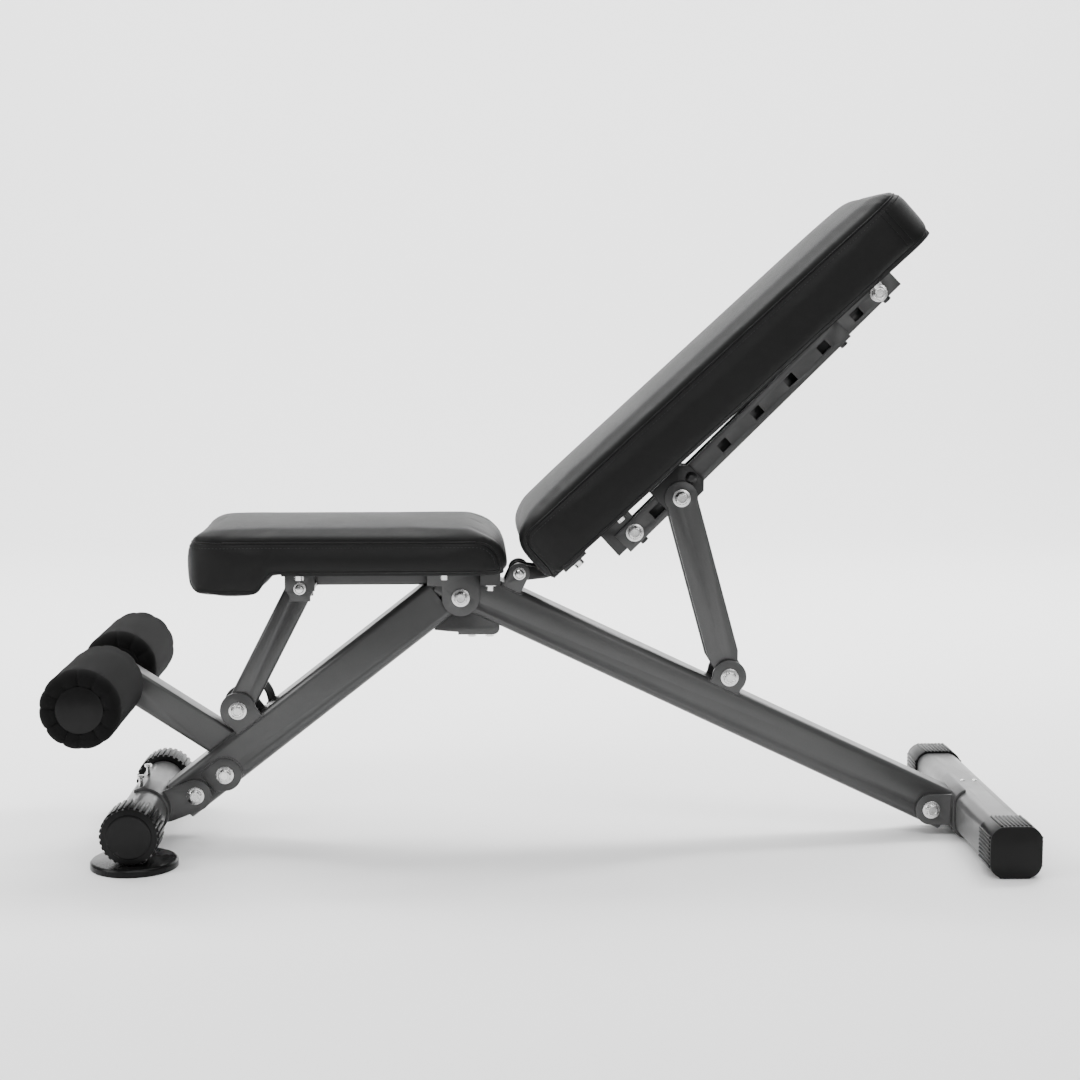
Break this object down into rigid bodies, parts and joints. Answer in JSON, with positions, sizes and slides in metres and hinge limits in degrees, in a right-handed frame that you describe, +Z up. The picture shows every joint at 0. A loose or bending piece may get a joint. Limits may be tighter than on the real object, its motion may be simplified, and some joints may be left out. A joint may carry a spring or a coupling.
{
  "type": "adjustable weight bench",
  "caption": "Adjustable weight bench: fixed seat, reclining backrest on a ladder rail and strut, foam leg rollers, T-shaped feet.",
  "frame": {"origin": "on the floor, under the middle of the bench's box", "axes": "+X towards the rear foot, +Y across the bench, +Z up"},
  "size_m": [1.3549, 0.506, 0.936],
  "materials": {
    "powder_coat": "satin",
    "foot_coat": "satin metallic",
    "black_coat": "satin",
    "black_plastic": "matte",
    "zinc": "bright zinc",
    "leatherette": "grained",
    "foam": "soft matte",
    "plywood": "black cloth cover"
  },
  "bodies": {
    "frame": {"front_leg": "powder_coat", "rear_leg": "powder_coat", "pivot_plates": "powder_coat", "knee_bracket": "powder_coat", "knee_bolts": "zinc", "front_foot_tube": "foot_coat", "front_foot_caps": "black_plastic", "floor_discs": "black_plastic", "front_foot_saddle": "powder_coat", "front_leg_plates": "powder_coat", "saddle_bolts": "zinc", "rear_foot_tube": "foot_coat", "rear_foot_caps": "black_plastic", "rear_foot_saddle": "powder_coat", "rear_foot_rivets": "zinc", "strut_ears": "powder_coat", "band_loop": "powder_coat", "seat_strut": "powder_coat", "seat_front_bracket": "powder_coat", "seat_front_bar": "powder_coat", "seat_rail": "powder_coat", "seat_saddle": "powder_coat", "seat_rear_bar": "black_coat", "seat_board": "plywood", "seat_cushion": "leatherette", "seat_bolts": "zinc", "seat_tee_nuts": "zinc", "hinge_ears": "powder_coat", "back_strut_ears": "powder_coat", "frame_bolts": "zinc", "frame_washers": "zinc", "frame_nuts": "zinc", "roller_arm": "powder_coat", "roller_axle": "powder_coat", "axle_collars": "black_plastic"},
    "backrest": {"hinge_lug": "black_coat", "back_board": "plywood", "back_cushion": "leatherette", "ladder_rail": "powder_coat", "ladder_insert": "powder_coat", "ladder_lower_bracket": "black_coat", "ladder_upper_bracket": "black_coat", "ladder_bolts": "zinc", "ladder_washers": "zinc", "ladder_nuts": "zinc", "ladder_studs": "black_coat", "back_bolts": "zinc", "back_tee_nuts": "zinc"},
    "back_strut": {"back_strut": "powder_coat", "strut_bush": "black_plastic"},
    "carriage": {"carriage": "black_coat", "carriage_bolts": "zinc", "carriage_washers": "zinc", "catch_pin": "black_coat"},
    "near_roller": {"near_roller": "foam", "near_roller_discs": "black_plastic"},
    "far_roller": {"far_roller": "foam", "far_roller_discs": "black_plastic"}
  },
  "joints": [
    {"name": "back_recline", "type": "hinge", "parent": "frame", "child": "backrest", "pos_m": [-0.03134, 0, 0.394], "axis": [0, -1, 0], "range_deg": [-41.5, 4]},
    {"name": "strut_swing", "type": "hinge", "parent": "frame", "child": "back_strut", "pos_m": [0.27455, 0, 0.23983], "axis": [0, -1, 0], "range_deg": [-85.24, 9.12]},
    {"name": "carriage_turn", "type": "hinge", "parent": "back_strut", "child": "carriage", "pos_m": [0.20261, 0, 0.50183], "axis": [0, -1, 0], "range_deg": [-5.12, 43.74]},
    {"name": "near_roller_turn", "type": "hinge", "parent": "frame", "child": "near_roller", "pos_m": [-0.62296, -0.15, 0.24391], "axis": [0, 1, 0], "continuous": true},
    {"name": "far_roller_turn", "type": "hinge", "parent": "frame", "child": "far_roller", "pos_m": [-0.62296, 0.15, 0.24391], "axis": [0, 1, 0], "continuous": true}
  ],
  "couplings": [
    {"joint": "strut_swing", "follows": "back_recline", "ratio": 2.03},
    {"joint": "carriage_turn", "follows": "back_recline", "ratio": -1.03}
  ]
}
